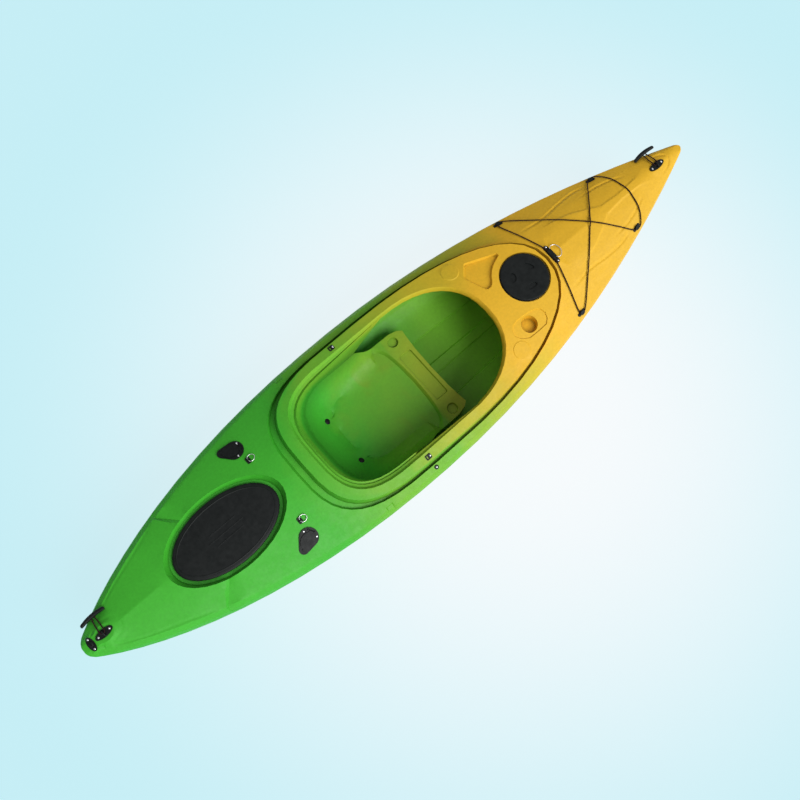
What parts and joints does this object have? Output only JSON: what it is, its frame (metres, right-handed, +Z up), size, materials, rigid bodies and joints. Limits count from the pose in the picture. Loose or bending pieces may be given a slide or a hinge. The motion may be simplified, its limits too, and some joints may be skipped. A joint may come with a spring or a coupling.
{
  "type": "sit-in kayak",
  "caption": "One-piece moulded sit-in kayak with a moulded seat, sealed hatches, deck bungee, rod holders and hand toggles for one paddler.",
  "frame": {"origin": "on the plane the kayak stands on, under the middle of its length and beam", "axes": "+X along the hull to the bow, +Y to port, +Z up"},
  "size_m": [3, 0.706, 0.3527],
  "materials": {
    "hull": "satin polyethylene, green at the stern to yellow at the bow",
    "black_fittings": "satin",
    "cord": "braided",
    "seal_rubber": "matt",
    "steel": "stainless"
  },
  "bodies": {
    "hull": {"hull_shell": "hull", "bow_pad_eye": "black_fittings", "stern_pad_eye": "black_fittings", "drain_seat": "black_fittings", "stern_hatch_rim": "black_fittings", "deck_plate_ring": "black_fittings", "port_rod_holder": "black_fittings", "starboard_rod_holder": "black_fittings", "port_rod_plug": "black_fittings", "starboard_rod_plug": "black_fittings", "port_rod_tube": "black_fittings", "starboard_rod_tube": "black_fittings", "port_ring_saddle": "black_fittings", "starboard_ring_saddle": "black_fittings", "centre_saddle": "black_fittings", "port_coaming_tab": "black_fittings", "starboard_coaming_tab": "black_fittings", "port_seat_bung": "black_fittings", "starboard_seat_bung": "black_fittings", "leash_ring": "black_fittings", "rear_port_hook": "black_fittings", "rear_starboard_hook": "black_fittings", "front_port_hook": "black_fittings", "front_starboard_hook": "black_fittings", "port_foot_rail": "black_fittings", "starboard_foot_rail": "black_fittings", "bungee_cord": "cord", "bow_eye_screw_aft": "steel", "bow_eye_screw_fore": "steel", "stern_eye_screw_aft": "steel", "stern_eye_screw_fore": "steel", "drain_screw_port": "steel", "drain_screw_starboard": "steel", "port_rod_screw_a": "steel", "port_rod_screw_b": "steel", "starboard_rod_screw_a": "steel", "starboard_rod_screw_b": "steel", "centre_screw_port": "steel", "centre_screw_starboard": "steel", "port_coaming_screw": "steel", "starboard_coaming_screw": "steel", "leash_stud": "steel"},
    "bow_toggle": {"bow_toggle_cord": "cord", "bow_toggle_grip": "black_fittings"},
    "stern_toggle": {"stern_toggle_cord": "cord", "stern_toggle_grip": "black_fittings"},
    "drain_plug_body": {"drain_plug": "black_fittings", "drain_washer": "seal_rubber"},
    "hatch_lid": {"stern_hatch_lid": "black_fittings"},
    "plate_seal": {"deck_plate_seal": "seal_rubber"},
    "plate_lid": {"deck_plate_lid": "black_fittings"},
    "port_cap": {"port_rod_cap": "black_fittings"},
    "starboard_cap": {"starboard_rod_cap": "black_fittings"},
    "port_ring": {"port_d_ring": "steel"},
    "starboard_ring": {"starboard_d_ring": "steel"},
    "centre_ring": {"centre_d_ring": "steel"},
    "port_pedal": {"port_foot_pedal": "black_fittings"},
    "starboard_pedal": {"starboard_foot_pedal": "black_fittings"}
  },
  "joints": [
    {"name": "bow_toggle_swing", "type": "hinge", "parent": "hull", "child": "bow_toggle", "pos_m": [1.36199, 0, 0.34296], "axis": [1, 0, 0.002], "range_deg": [0, 165]},
    {"name": "stern_toggle_swing", "type": "hinge", "parent": "hull", "child": "stern_toggle", "pos_m": [-1.40553, 0, 0.33508], "axis": [0.9895, 0, 0.1444], "range_deg": [0, 165]},
    {"name": "drain_plug_turn", "type": "hinge", "parent": "hull", "child": "drain_plug_body", "pos_m": [-1.4625, 0, 0.31617], "axis": [-0.1895, 0, 0.9819], "range_deg": [0, 720]},
    {"name": "stern_hatch_lift", "type": "slide", "parent": "hull", "child": "hatch_lid", "axis": [0, 0, 1], "range_m": [0, 0.25]},
    {"name": "deck_plate_lift", "type": "slide", "parent": "hull", "child": "plate_seal", "axis": [0, 0, 1], "range_m": [0, 0.2]},
    {"name": "deck_plate_twist", "type": "hinge", "parent": "plate_seal", "child": "plate_lid", "pos_m": [0.6255, 0, 0.33], "axis": [0, 0, 1], "range_deg": [0, 90]},
    {"name": "port_rod_cap_open", "type": "hinge", "parent": "hull", "child": "port_cap", "pos_m": [-0.63063, 0.20155, 0.30192], "axis": [0.4908, 0.8265, -0.2756], "range_deg": [0, 110]},
    {"name": "starboard_rod_cap_open", "type": "hinge", "parent": "hull", "child": "starboard_cap", "pos_m": [-0.63063, -0.20155, 0.30192], "axis": [-0.4908, 0.8265, 0.2756], "range_deg": [0, 110]},
    {"name": "port_ring_swing", "type": "hinge", "parent": "hull", "child": "port_ring", "pos_m": [-0.63802, 0.147, 0.31562], "axis": [0, -0.9716, 0.2368], "range_deg": [0, 165]},
    {"name": "starboard_ring_swing", "type": "hinge", "parent": "hull", "child": "starboard_ring", "pos_m": [-0.63802, -0.147, 0.31562], "axis": [0, -0.9716, -0.2368], "range_deg": [0, 165]},
    {"name": "centre_ring_swing", "type": "hinge", "parent": "hull", "child": "centre_ring", "pos_m": [0.77667, 0, 0.33896], "axis": [0, -1, 0], "range_deg": [0, 135]},
    {"name": "port_pedal_slide", "type": "slide", "parent": "hull", "child": "port_pedal", "axis": [0.9731, -0.2304, -0.0082], "range_m": [-0.12, 0.12]},
    {"name": "starboard_pedal_slide", "type": "slide", "parent": "hull", "child": "starboard_pedal", "axis": [0.9731, 0.2304, -0.0082], "range_m": [-0.12, 0.12]}
  ]
}
